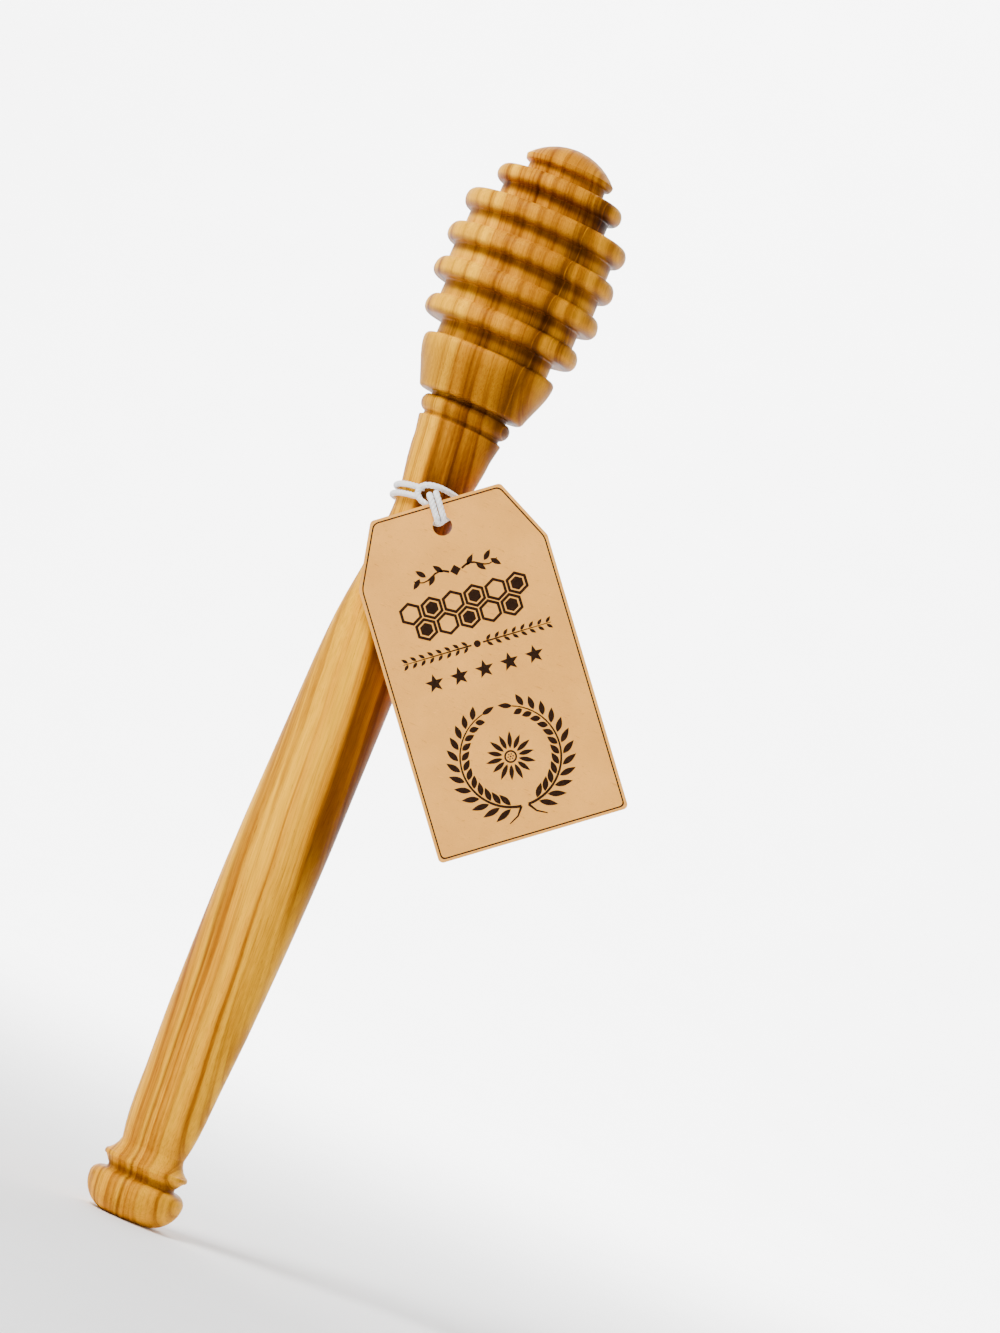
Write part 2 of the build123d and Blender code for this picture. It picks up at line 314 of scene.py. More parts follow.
# %% Tie the knot
KNOT_DEPTH, KNOT_RISE = 7.15, 1.35
KNOT_SPAN, KNOT_WIDE, KNOT_LOW = 0.36, 1.15, 0.82
KNOT_HEAVE = 0.55
KNOT_CORD = 0.9
KNOT_POINTS = 42
TAIL_ROUTE = [
    (0.7, 0.1, 0.1), (1.9, -0.3, 0.05), (2.25, -2.2, -0.15), (2.1, -4.4, 0.1), (2.2, -5.2, 0.15),
]


def knot_line():
    """A closed trefoil, given as control points for a smooth line."""
    points = []
    for step in range(KNOT_POINTS + 1):
        turn = 2 * math.pi * step / KNOT_POINTS
        reach = KNOT_SPAN * (2 + math.cos(3 * turn))
        side = KNOT_WIDE * reach * math.cos(2 * turn)
        rise = KNOT_RISE + KNOT_LOW * reach * math.sin(2 * turn)
        points.append(on_card(side, rise, KNOT_DEPTH + KNOT_HEAVE * math.sin(3 * turn)))
    return smooth_line("knot_line", points, steps=6)


def tail_line(side):
    """Line of one loose end that hangs out of the knot."""
    route = []
    for over, rise, behind in TAIL_ROUTE:
        route.append(on_card(side * over, KNOT_RISE + rise, KNOT_DEPTH - behind))
    return smooth_line("tail_line", route, steps=16)


knot_lines = [knot_line(), tail_line(-1), tail_line(1)]
knot = mesh_object("knot_cord", *twisted_cord(knot_lines, KNOT_CORD * MM))
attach(knot, "tag")
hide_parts("cord_knot")
trefoil, tail = (line_length(line) / MM for line in knot_lines[:2])
print(f"knot: trefoil of {trefoil:.1f} mm, tails of {tail:.1f} mm")

# %% [markdown]
# ## Small helpers for node finishes
# A finish is a graph of nodes. Most of its steps are one node with a few values, so short
# helpers keep the graphs readable. One puts values or links into a node, one adds a node,
# and the others each add one kind that comes up often. A group has named inputs and outputs,
# like a function. A mix node keeps its two colours at inputs 6 and 7, and the mixed colour at
# output 2, because its first sockets are for plain numbers.

# %% Node helpers
MIX_UNDER, MIX_OVER, MIX_RESULT = 6, 7, 2


def plug_in(tree, node, values):
    """Puts each value, or a link from a socket, into the node's input of that name."""
    for name, value in values.items():
        if isinstance(value, bpy.types.NodeSocket):
            tree.links.new(value, node.inputs[name])
        else:
            node.inputs[name].default_value = value


def add_node(tree, kind, values=None, **settings):
    """A node with its settings, and values or links put into its named inputs."""
    node = tree.nodes.new(kind)
    for name, setting in settings.items():
        setattr(node, name, setting)
    plug_in(tree, node, values or {})
    return node


def sum_of(tree, operation, first, second=0.0, third=0.0):
    """Output of a math node."""
    values = {0: first, 1: second, 2: third}
    return add_node(tree, "ShaderNodeMath", values, operation=operation).outputs[0]


def times(tree, first, second):
    """Output of a math node that multiplies."""
    return sum_of(tree, "MULTIPLY", first, second)


def ramp_of(tree, factor, stops):
    """Colour of a ramp with (place, colour) stops, where a colour may be one grey value."""
    node = add_node(tree, "ShaderNodeValToRGB", {"Fac": factor})
    ramp = node.color_ramp
    while len(ramp.elements) < len(stops):
        ramp.elements.new(1.0)
    for element, (place, colour) in zip(ramp.elements, stops):
        tone = colour if isinstance(colour, tuple) else (colour, colour, colour)
        element.position = place
        element.color = (*tone, 1)
    return node.outputs["Color"]


def mix_of(tree, blend, factor, under, over):
    """Colour of a mix node."""
    values = {"Factor": factor, MIX_UNDER: under, MIX_OVER: over}
    node = add_node(tree, "ShaderNodeMix", values, data_type="RGBA", blend_type=blend)
    return node.outputs[MIX_RESULT]


def noise_of(tree, vector, scale=1.0, detail=2.0, roughness=0.5, distortion=0.0):
    """Value of a noise texture."""
    values = {
        "Vector": vector, "Scale": scale, "Detail": detail,
        "Roughness": roughness, "Distortion": distortion,
    }
    return add_node(tree, "ShaderNodeTexNoise", values).outputs["Fac"]


def object_place(tree):
    """Where a point lies in the object, in metres."""
    return add_node(tree, "ShaderNodeTexCoord").outputs["Object"]


def place_in_mm(tree):
    """Where a point lies in the object, in millimetres."""
    values = {0: object_place(tree), "Scale": 1 / MM}
    return add_node(tree, "ShaderNodeVectorMath", values, operation="SCALE").outputs[0]


def bump_of(tree, height, strength, distance):
    """Normal of a surface with small bumps, where a height of 1 is a distance in mm."""
    values = {"Strength": strength, "Distance": distance * MM, "Height": height}
    return add_node(tree, "ShaderNodeBump", values).outputs[0]


def new_group(name, inputs, outputs):
    """An empty node group with named sockets: (name, kind, value) in, (name, kind) out."""
    group = bpy.data.node_groups.new(name, "ShaderNodeTree")
    for label, kind, value in inputs:
        socket = group.interface.new_socket(label, in_out="INPUT", socket_type=kind)
        socket.default_value = value
    for label, kind in outputs:
        group.interface.new_socket(label, in_out="OUTPUT", socket_type=kind)
    return group, group.nodes.new("NodeGroupInput"), group.nodes.new("NodeGroupOutput")


def new_material(name):
    """A material, with its tree of nodes and its shader."""
    material = bpy.data.materials.new(name)
    material.use_nodes = True
    return material, material.node_tree, material.node_tree.nodes["Principled BSDF"]


def dress(name, material):
    """Gives a CAD part a finish."""
    for slot in bpy.data.objects[name].material_slots:
        slot.material = material
    print(f"{name} wears {material.name}")


# %% [markdown]
# ## Olive wood
# Olive wood is pale gold with brown figure. Its layers ran through the whole branch, so the
# lines must cross rings and grooves as if the stick had been carved out of a patterned
# block. A picture wrapped round the stick would bend with it. A solid texture is right: each
# point takes its colour from where it lies in the block. The layers are nearly flat here, so
# one distance counts: how deep a point lies across the layers, which lean a little against
# the stick's axis. Where the turned side only grazes a layer, its edge draws a long pointed
# arch, as on the lower right of the handle. Long noise along the grain lets the layers drift.

# %% Where a point lies in the block
LAYER_ANGLE = math.radians(-13.1)
LAYER_TILT, LAYER_START = 0.0923, 10.89
STREAK_TILT, STREAK_START = -0.05, 0.06
DRIFT_SCALE = (0.06, 0.06, 0.016)


def layer_place(tree, drift):
    """Distances in mm in the block: past the first dark layer, past the streak, along, up."""
    place = place_in_mm(tree)
    long_wave = add_node(tree, "ShaderNodeMapping", {"Vector": place, "Scale": DRIFT_SCALE})
    wander = sum_of(tree, "SUBTRACT", noise_of(tree, long_wave.outputs[0]), 0.5)
    side, depth, height = add_node(tree, "ShaderNodeSeparateXYZ", {"Vector": place}).outputs
    cosine, sine = math.cos(LAYER_ANGLE), math.sin(LAYER_ANGLE)
    level = sum_of(tree, "ADD", times(tree, side, cosine), times(tree, depth, sine))
    level = sum_of(tree, "ADD", level, times(tree, wander, drift))
    past_layer = sum_of(tree, "SUBTRACT", level, LAYER_START)
    past_streak = sum_of(tree, "SUBTRACT", level, STREAK_START)
    across = sum_of(tree, "MULTIPLY_ADD", height, LAYER_TILT, past_layer)
    streak = sum_of(tree, "MULTIPLY_ADD", height, STREAK_TILT, past_streak)
    along = sum_of(tree, "SUBTRACT", times(tree, depth, cosine), times(tree, side, sine))
    return across, streak, along, height


def grain_of(tree, block, scale, detail=3.0, roughness=0.6):
    """Noise with a scale of its own across the layers, along them and up the stick."""
    values = dict(zip("XYZ", block))
    vector = add_node(tree, "ShaderNodeCombineXYZ", values).outputs[0]
    scaled = add_node(tree, "ShaderNodeMapping", {"Vector": vector, "Scale": scale}).outputs[0]
    return noise_of(tree, scaled, detail=detail, roughness=roughness)


def rising(tree, value, low, high):
    """A mask that rises smoothly from 0 to 1 between two values."""
    values = {"Value": value, "From Min": low, "From Max": high}
    return add_node(tree, "ShaderNodeMapRange", values, interpolation_type="SMOOTHSTEP").outputs[0]


# %% [markdown]
# Three colour ramps hold the layers, for the foot, the stick and the head, because the dark
# heart of the wood is sharp in the upper handle and mild elsewhere. Each row is a distance
# across the layers in millimetres, and a colour. A dark streak with a pale line in it crosses
# only the cup and the rings. Over them lie broad year bands, thin dark lines, fibres and
# pores, each from a noise that is very long up the stick, so that the grain stays straight.

# %% Colours of the layers
STRAW, GOLD, HONEY = (0.84, 0.405, 0.0), (0.66, 0.276, 0.0), (0.46, 0.172, 0.001)
PALE, AMBER = (0.95, 0.475, 0.002), (0.72, 0.308, 0.0)
TAN, UMBER = (0.28, 0.095, 0.003), (0.165, 0.05, 0.003)
LAYER_LOW, LAYER_SPAN = -19.0, 33.0
FOOT_LAYERS = [
    (-19.0, AMBER), (-16.5, PALE), (-15.6, AMBER), (-15.2, TAN), (-14.7, PALE), (-12.9, AMBER),
    (-12.5, HONEY), (-11.9, AMBER), (-10.8, STRAW), (-10.3, TAN), (-9.8, AMBER), (-8.1, AMBER),
    (-7.6, HONEY), (-6.9, STRAW), (-5.5, AMBER), (-4.9, HONEY), (-4.2, STRAW), (-2.6, STRAW),
    (-0.6, PALE), (1.6, GOLD), (4.0, PALE), (9.0, GOLD), (14.0, GOLD),
]
STICK_LAYERS = [
    (-14.0, PALE), (-9.5, PALE), (-7.4, PALE), (-5.8, STRAW), (-4.4, AMBER), (-2.6, STRAW),
    (-1.1, AMBER), (-0.3, HONEY), (0.15, UMBER), (1.4, UMBER), (2.4, TAN), (3.2, UMBER),
    (4.6, TAN), (6.5, HONEY), (9.0, TAN), (14.0, HONEY),
]
HEAD_LAYERS = [
    (-14.0, STRAW), (-10.2, STRAW), (-9.6, HONEY), (-8.9, STRAW), (-8.0, HONEY), (-7.4, STRAW),
    (-1.0, STRAW), (0.0, GOLD), (3.5, HONEY), (5.0, GOLD), (7.6, HONEY), (9.0, HONEY),
    (12.0, GOLD), (14.0, GOLD),
]
STREAK_LAYERS = [
    (0.0, 0.0), (0.3, 0.55), (0.45, 1.0), (0.515, 1.0), (0.54, 0.25), (0.565, 1.0),
    (0.66, 0.8), (0.8, 0.0),
]
STREAK_WIDTH, STREAK_STRENGTH = 5.0, 0.85
STICK_FADE, HEAD_FADE, STREAK_FADE = (42.0, 68.0), (118.0, 138.0), (124.0, 131.0)


def layer_ramp(tree, across, layers):
    """Colour of the layers, from (distance in mm, colour) rows."""
    share = sum_of(tree, "DIVIDE", sum_of(tree, "SUBTRACT", across, LAYER_LOW), LAYER_SPAN)
    stops = [((place - LAYER_LOW) / LAYER_SPAN, colour) for place, colour in layers]
    return ramp_of(tree, share, stops)


def layer_colour(tree, across, streak, height):
    """Colour of the layers with the head's streak."""
    colour = layer_ramp(tree, across, FOOT_LAYERS)
    for layers, fade in ((STICK_LAYERS, STICK_FADE), (HEAD_LAYERS, HEAD_FADE)):
        amount = rising(tree, height, *fade)
        colour = mix_of(tree, "MIX", amount, colour, layer_ramp(tree, across, layers))
    wide = sum_of(tree, "ADD", sum_of(tree, "DIVIDE", streak, STREAK_WIDTH), 0.5)
    dark = times(tree, ramp_of(tree, wide, STREAK_LAYERS), rising(tree, height, *STREAK_FADE))
    return mix_of(tree, "MIX", times(tree, dark, STREAK_STRENGTH), colour, (*UMBER, 1))


print("layers:", len(FOOT_LAYERS), "foot,", len(STICK_LAYERS), "stick,", len(HEAD_LAYERS), "head")

# %% [markdown]
# Painted shade: the colour is darker in the bands of the turned shape where shade falls. These are
# the corner under each ring, the slanted side of the cup that faces down, and the narrow grooves
# at the tip, the cup, the bead and the knob.
# Each row gives the height of a band's middle, how far it reaches, and how strong it is.

# %% Painted shade bands
RING_FOOT, RING_PITCH, RING_COUNT = 146.0, 5.8, 5
RING_FEET = [RING_FOOT + RING_PITCH * i for i in range(RING_COUNT)]
# Painted shade: each row darkens the colour where shade falls, under a ring, in a groove or on the
# cup's downward side.
PAINTED_SHADE_BANDS = [(foot - 0.4, 1.45, 0.94) for foot in RING_FEET] + [
    (173.5, 0.8, 0.5), (134.8, 0.9, 0.8), (133.2, 1.8, 0.4), (138.4, 6.0, 0.5), (131.7, 0.7, 0.6),
    (6.8, 1.1, 0.7),
]
BAND_CORE = 0.25
# Colour that multiplies the wood in the painted shade bands.
PAINTED_SHADE_TONE = (0.34, 0.26, 0.2)


def painted_shade_bands(tree, height):
    """Mask of the painted shade bands, 1 where the painted shade is darkest."""
    mask = 0.0
    for middle, reach, strength in PAINTED_SHADE_BANDS:
        off = sum_of(tree, "ABSOLUTE", sum_of(tree, "SUBTRACT", height, middle))
        near = times(tree, rising(tree, off, reach, BAND_CORE * reach), strength)
        mask = sum_of(tree, "MAXIMUM", near, mask)
    return mask


# The count printed is that of the painted shade bands.
print("oiled bands:", len(PAINTED_SHADE_BANDS))

# %% Figure of the wood
YEAR_SCALE, LINE_SCALE = (0.47, 0.04, 0.012), (1.7, 0.06, 0.007)
FIBRE_SCALE, PORE_SCALE = (5.5, 5.5, 0.16), (9.0, 9.0, 0.6)
YEAR_TONES = [
    (0.38, (0.56, 0.46, 0.35)), (0.47, (0.88, 0.84, 0.77)),
    (0.55, (1.0, 1.0, 0.95)), (0.64, (1.1, 1.12, 1.1)),
]
LINE_MASK = [(0.3, 1.0), (0.4, 0.5), (0.46, 0.0), (0.62, 0.0), (0.7, 0.4)]
LINE_TONE = (0.5, 0.36, 0.22)
FIBRE_TONES = [(0.3, (0.72, 0.62, 0.5)), (0.6, (1.08, 1.08, 1.1))]
PORE_MASK = [(0.27, 1.0), (0.34, 0.0)]
PORE_STRENGTH, PORE_DEPTH = 0.5, 0.4
SATIN_LOW, SATIN_HIGH = 0.44, 0.56


def olive_figure():
    """Group that gives the wood's colour with its painted shade bands, its roughness and the
    height of its fibres.
    """
    inputs = [
        ("Drift", "NodeSocketFloat", 3.4), ("Line Strength", "NodeSocketFloat", 0.8),
        ("Fibre Strength", "NodeSocketFloat", 0.75), ("Painted Shade Bands", "NodeSocketFloat", 1.0),
    ]
    outputs = [
        ("Color", "NodeSocketColor"), ("Roughness", "NodeSocketFloat"),
        ("Height", "NodeSocketFloat"),
    ]
    tree, group_input, result = new_group("olive_figure", inputs, outputs)
    given = group_input.outputs
    across, streak, along, height = layer_place(tree, given["Drift"])
    block = (across, along, height)
    colour = layer_colour(tree, across, streak, height)
    years = ramp_of(tree, grain_of(tree, block, YEAR_SCALE), YEAR_TONES)
    colour = mix_of(tree, "MULTIPLY", 1.0, colour, years)
    lines = ramp_of(tree, grain_of(tree, block, LINE_SCALE), LINE_MASK)
    lines = times(tree, lines, given["Line Strength"])
    colour = mix_of(tree, "MULTIPLY", lines, colour, (*LINE_TONE, 1))
    fibres = grain_of(tree, block, FIBRE_SCALE)
    shade = ramp_of(tree, fibres, FIBRE_TONES)
    colour = mix_of(tree, "MULTIPLY", given["Fibre Strength"], colour, shade)
    pores = grain_of(tree, block, PORE_SCALE, detail=2.0, roughness=0.5)
    pores = ramp_of(tree, pores, PORE_MASK)
    colour = mix_of(tree, "MULTIPLY", times(tree, pores, PORE_STRENGTH), colour, (*TAN, 1))
    # Painted shade: the wood's colour is darkened in the bands where shade falls.
    painted_shade = times(tree, painted_shade_bands(tree, height), given["Painted Shade Bands"])
    colour = mix_of(tree, "MULTIPLY", painted_shade, colour, (*PAINTED_SHADE_TONE, 1))
    satin = {"Value": fibres, "To Min": SATIN_LOW, "To Max": SATIN_HIGH}
    rough = add_node(tree, "ShaderNodeMapRange", satin).outputs[0]
    depth = sum_of(tree, "SUBTRACT", fibres, times(tree, pores, PORE_DEPTH))
    plug_in(tree, result, {"Color": colour, "Roughness": rough, "Height": depth})
    return tree


olive = olive_figure()
print("olive figure:", len(olive.nodes), "nodes")

# %% [markdown]
# ## The finish on the wood
# The turned stick is sanded and oiled: a satin skin that shows broad soft highlights. The
# lathe also leaves very fine rings, which a slow wave up the stick adds to the bump.

# %% Wood material
LATHE_PITCH, LATHE_SHARE = 0.9, 0.5
WOOD_BUMP, WOOD_BUMP_MM = 0.35, 0.02
WOOD_GLOSS, WOOD_GLOSS_TINT = 0.06, (1.0, 0.7, 0.35, 1)


def wood_material():
    """Oiled olive wood."""
    material, tree, shader = new_material("oiled_olive_wood")
    figure = add_node(tree, "ShaderNodeGroup", node_tree=olive).outputs
    rings = {"Vector": object_place(tree), "Scale": (0, 0, 1 / (LATHE_PITCH * MM))}
    lathe = noise_of(tree, add_node(tree, "ShaderNodeMapping", rings).outputs[0])
    height = sum_of(tree, "ADD", figure["Height"], times(tree, lathe, LATHE_SHARE))
    plug_in(tree, shader, {
        "Base Color": figure["Color"],
        "Roughness": figure["Roughness"],
        "Normal": bump_of(tree, height, WOOD_BUMP, WOOD_BUMP_MM),
        "Specular IOR Level": WOOD_GLOSS,
        "Specular Tint": WOOD_GLOSS_TINT,
    })
    return material


dress("turned_dipper", wood_material())

# %% [markdown]
# ## Kraft card
# Kraft board is brown paper pulp: a warm tan with cloudy patches and short loose fibres,
# some lighter and some darker. Both come from noise: one large and soft, and one stretched
# short way in turned directions so that the flecks don't line up. The cut edge is a little
# paler than the face, as the photograph shows along the card's left side.

# %% Card material
KRAFT, KRAFT_EDGE = (0.84, 0.372, 0.061), (0.90, 0.66, 0.36)
EDGE_DEPTH = 0.02
CLOUD_SCALE, CLOUD_TONES = 0.16, [(0.3, (0.93, 0.91, 0.88)), (0.7, (1.06, 1.06, 1.06))]
FLECK_SCALE, FLECK_RISE = (0.8, 1, 4.5), 0.3
FLECKS = [
    (0.5, (0.28, 0.36), (0.55, 0.42, 0.3)),
    (1.9, (0.27, 0.34), (1.25, 1.3, 1.4)),
    (2.7, (0.26, 0.33), (0.6, 0.5, 0.4)),
]
GRIT_SCALE, GRIT_TONES = 7.0, [(0.3, 0.86), (0.7, 1.1)]
GRIT_STRENGTH, GRIT_RISE = 0.5, 0.5
BOARD_BUMP, BOARD_BUMP_MM = 0.3, 0.03


def kraft_pulp():
    """Group that gives the card's colour and the height of its fibres."""
    inputs = [("Fleck Strength", "NodeSocketFloat", 0.5)]
    outputs = [("Color", "NodeSocketColor"), ("Height", "NodeSocketFloat")]
    tree, given, result = new_group("kraft_pulp", inputs, outputs)
    place = place_in_mm(tree)
    cloud = noise_of(tree, place, CLOUD_SCALE, detail=3.0)
    colour = mix_of(tree, "MULTIPLY", 1.0, (*KRAFT, 1), ramp_of(tree, cloud, CLOUD_TONES))
    height = cloud
    for turn, (low, high), tone in FLECKS:
        values = {"Vector": place, "Rotation": (0, turn, 0), "Scale": FLECK_SCALE}
        spin = add_node(tree, "ShaderNodeMapping", values).outputs[0]
        fleck = noise_of(tree, spin, roughness=0.6, distortion=0.8)
        fleck = ramp_of(tree, fleck, [(low, 1.0), (high, 0.0)])
        amount = times(tree, fleck, given.outputs["Fleck Strength"])
        colour = mix_of(tree, "MULTIPLY", amount, colour, (*tone, 1))
        height = sum_of(tree, "ADD", height, times(tree, fleck, FLECK_RISE))
    grit = noise_of(tree, place, GRIT_SCALE)
    colour = mix_of(tree, "MULTIPLY", GRIT_STRENGTH, colour, ramp_of(tree, grit, GRIT_TONES))
    height = sum_of(tree, "ADD", height, times(tree, grit, GRIT_RISE))
    plug_in(tree, result, {"Color": colour, "Height": height})
    return tree


def card_material():
    """Uncoated kraft board with a paler cut edge."""
    material, tree, shader = new_material("kraft_board")
    pulp = add_node(tree, "ShaderNodeGroup", node_tree=kraft_pulp()).outputs
    depth = add_node(tree, "ShaderNodeSeparateXYZ", {"Vector": object_place(tree)}).outputs[1]
    middle, half = (CARD_FRONT + CARD_BACK) / 2, (CARD_FRONT - CARD_BACK) / 2
    from_middle = sum_of(tree, "ABSOLUTE", sum_of(tree, "ADD", depth, middle * MM))
    flat = sum_of(tree, "GREATER_THAN", from_middle, (half - EDGE_DEPTH) * MM)
    plug_in(tree, shader, {
        "Base Color": mix_of(tree, "MIX", flat, (*KRAFT_EDGE, 1), pulp["Color"]),
        "Roughness": 0.85,
        "Specular IOR Level": 0.25,
        "Normal": bump_of(tree, pulp["Height"], BOARD_BUMP, BOARD_BUMP_MM),
    })
    return material


dress("tag_card", card_material())

# %% [markdown]
# ## Cotton and ink
# The cord is undyed cotton: nearly white, quite matte, with a soft sheen from loose fibres.
# The ink is a dark sepia that sinks into the board, so it is matte too, and the board's
# texture makes it a little uneven.

# %% Cord and ink materials
COTTON, COTTON_SCALE, COTTON_TONES = (0.93, 0.92, 0.91), 9000.0, [(0.3, 0.86), (0.6, 1.0)]
COTTON_BUMP, COTTON_BUMP_MM = 0.4, 0.03
INK, INK_SCALE, INK_TONES = (0.016, 0.006, 0.002), 5000.0, [(0.3, 1.7), (0.6, 0.9)]


def cotton_material():
    """White cotton with fine fibres."""
    material, tree, shader = new_material("white_cotton")
    fibre = noise_of(tree, object_place(tree), COTTON_SCALE)
    shade = ramp_of(tree, fibre, COTTON_TONES)
    plug_in(tree, shader, {
        "Base Color": mix_of(tree, "MULTIPLY", 1.0, (*COTTON, 1), shade),
        "Roughness": 0.8,
        "Sheen Weight": 0.25,
        "Normal": bump_of(tree, fibre, COTTON_BUMP, COTTON_BUMP_MM),
    })
    return material


def ink_material():
    """Sepia ink on board."""
    material, tree, shader = new_material("sepia_ink")
    shade = ramp_of(tree, noise_of(tree, object_place(tree), INK_SCALE), INK_TONES)
    plug_in(tree, shader, {
        "Base Color": mix_of(tree, "MULTIPLY", 1.0, (*INK, 1), shade),
        "Roughness": 0.85,
        "Specular IOR Level": 0.08,
    })
    return material


cotton, ink = cotton_material(), ink_material()
for cord in (hitch, strands, knot):
    cord.data.materials.append(cotton)
print("cord pieces wear", cotton.name)

# %% [markdown]
# ## The print on the card
# The card has a thin border near its edge, a row of five stars, and ornaments over and under
# them. Print is flat, so it could be drawn by the material, but sharp lines and points are
# easier as shapes: thin faces just over the board, like ink on paper. Each shape is a small
# outline in the card's own directions, and all of them join into one printed layer.

# %% Print helpers
PRINT_LIFT, PRINT_STEP, PRINT_LEVELS = 0.012, 0.002, 7
LEAF_STEPS, LEAF_FULLNESS = 7, 0.85
STEM_TAPER = 0.6
prints = {"points": [], "faces": [], "shapes": 0}


def print_points(outline):
    """Adds points on the card and gives the number of the first.

    Neighbouring shapes lie at slightly different levels, so that they may overlap cleanly.
    """
    lift = PRINT_LIFT + PRINT_STEP * (prints["shapes"] % PRINT_LEVELS)
    prints["shapes"] += 1
    start = len(prints["points"])
    prints["points"] += [on_card(side, rise, CARD_FRONT + lift) for side, rise in outline]
    return start


def print_shape(outline):
    """Adds one filled shape, given as points across and up the card from its hole."""
    start = print_points(outline)
    prints["faces"].append(tuple(range(start, start + len(outline))))


def print_band(outer, inner):
    """Adds a closed band between two outlines with as many points."""
    count = len(outer)
    start = print_points(outer + inner)
    for i in range(count):
        j = (i + 1) % count
        prints["faces"].append((start + i, start + j, start + count + j, start + count + i))


def point_at(middle, reach, angle):
    """The point at a distance and an angle from a middle."""
    return (middle[0] + reach * math.cos(angle), middle[1] + reach * math.sin(angle))


def ring_of(middle, radius, count, turn=0.0):
    """Points of a regular outline round a middle."""
    return [point_at(middle, radius, turn + 2 * math.pi * i / count) for i in range(count)]


def leaf_at(base, angle, length, width):
    """Adds a pointed leaf that grows from a base point."""
    shares = [i / LEAF_STEPS for i in range(LEAF_STEPS)]
    cosine, sine = math.cos(angle), math.sin(angle)
    outline = []
    for side, row in ((1, shares), (-1, [1 - share for share in shares])):
        for share in row:
            x = share * length
            y = side * width / 2 * math.sin(math.pi * share ** LEAF_FULLNESS)
            outline.append((base[0] + x * cosine - y * sine, base[1] + x * sine + y * cosine))
    print_shape(outline)


def stem_along(points, width):
    """Adds a thin line through points, thinner towards its end."""
    count = len(points)
    left, right = [], []
    for i, (x, y) in enumerate(points):
        (x0, y0), (x1, y1) = points[max(i - 1, 0)], points[min(i + 1, count - 1)]
        length = math.hypot(x1 - x0, y1 - y0)
        half = width / 2 * (1 - STEM_TAPER * i / (count - 1))
        off = (-(y1 - y0) / length * half, (x1 - x0) / length * half)
        left.append((x + off[0], y + off[1]))
        right.append((x - off[0], y - off[1]))
    for i in range(count - 1):
        print_shape([left[i], left[i + 1], right[i + 1], right[i]])


# %% Border and stars
BORDER_INSET, BORDER_WIDTH = 0.45, 0.22
CORNER_ROUND, CORNER_STEPS = 0.8, 5
STAR_COUNT, STAR_RISE, STAR_PITCH = 5, -22.7, 3.95
STAR_RADIUS, STAR_NOTCH = 1.5, 0.42


def card_corners():
    """Corners of the card, anticlockwise from the top right, from its hole."""
    top, bottom = HOLE_FROM_TOP, HOLE_FROM_TOP - CARD_LENGTH
    clip = top - CARD_CLIP_HEIGHT
    half, half_top = CARD_WIDTH / 2, CARD_TOP_WIDTH / 2
    return [
        (half_top, top), (-half_top, top), (-half, clip),
        (-half, bottom), (half, bottom), (half, clip),
    ]


def moved_in(corners, distance):
    """The same outline with each side moved inwards."""
    count = len(corners)
    sides = []
    for i in range(count):
        (x0, y0), (x1, y1) = corners[i], corners[(i + 1) % count]
        length = math.hypot(x1 - x0, y1 - y0)
        direction = ((x1 - x0) / length, (y1 - y0) / length)
        inward = (-direction[1], direction[0])
        sides.append(((x0 + inward[0] * distance, y0 + inward[1] * distance), direction))
    moved = []
    for i in range(count):
        (ax, ay), (adx, ady) = sides[i - 1]
        (bx, by), (bdx, bdy) = sides[i]
        reach = ((bx - ax) * bdy - (by - ay) * bdx) / (adx * bdy - ady * bdx)
        moved.append((ax + adx * reach, ay + ady * reach))
    return moved


def rounded(corners, radius):
    """The outline with each corner turned into a short curve."""
    count = len(corners)
    points = []
    for i in range(count):
        before, corner, after = (Vector(corners[k % count]) for k in (i - 1, i, i + 1))
        start = corner + (before - corner).normalized() * radius
        end = corner + (after - corner).normalized() * radius
        for step in range(CORNER_STEPS + 1):
            share = step / CORNER_STEPS
            point = (1 - share) ** 2 * start + 2 * share * (1 - share) * corner + share ** 2 * end
            points.append((point.x, point.y))
    return points


outer = rounded(moved_in(card_corners(), BORDER_INSET), CORNER_ROUND)
inner = moved_in(card_corners(), BORDER_INSET + BORDER_WIDTH)
print_band(outer, rounded(inner, CORNER_ROUND - BORDER_WIDTH / 2))

for i in range(STAR_COUNT):
    middle = ((i - STAR_COUNT // 2) * STAR_PITCH, STAR_RISE)
    tips = ring_of(middle, STAR_RADIUS, 5, math.pi / 2)
    notches = ring_of(middle, STAR_NOTCH * STAR_RADIUS, 5, math.pi / 2 + math.pi / 5)
    print_shape([point for pair in zip(tips, notches) for point in pair])
print("border and stars:", len(prints["faces"]), "faces")

# %% [markdown]
# ## Ornaments
# Over the stars stand a leafy flourish, a strip of honeycomb cells and a row of leaves on a
# stem. Under them a wreath of two branches goes round a daisy. All of it is generic ornament,
# built from a cell, a leaf and a stem, at the weight of fine line printing.

# %% Flourish
FLOURISH_RISE, FLOURISH_START, FLOURISH_POINTS = -7.0, 1.0, 9
FLOURISH_STEP, WAVE_HEIGHT, WAVE_STEP = 0.7, 0.5, 0.8
FLOURISH_LEAVES = [(1.9, 48), (3.3, -50), (4.6, 46), (5.6, -44)]
FLOURISH_LINE, FLOURISH_LEAF, FLOURISH_LIFT = 0.36, (1.9, 0.8), 0.2
DIAMOND_RADIUS = 0.85


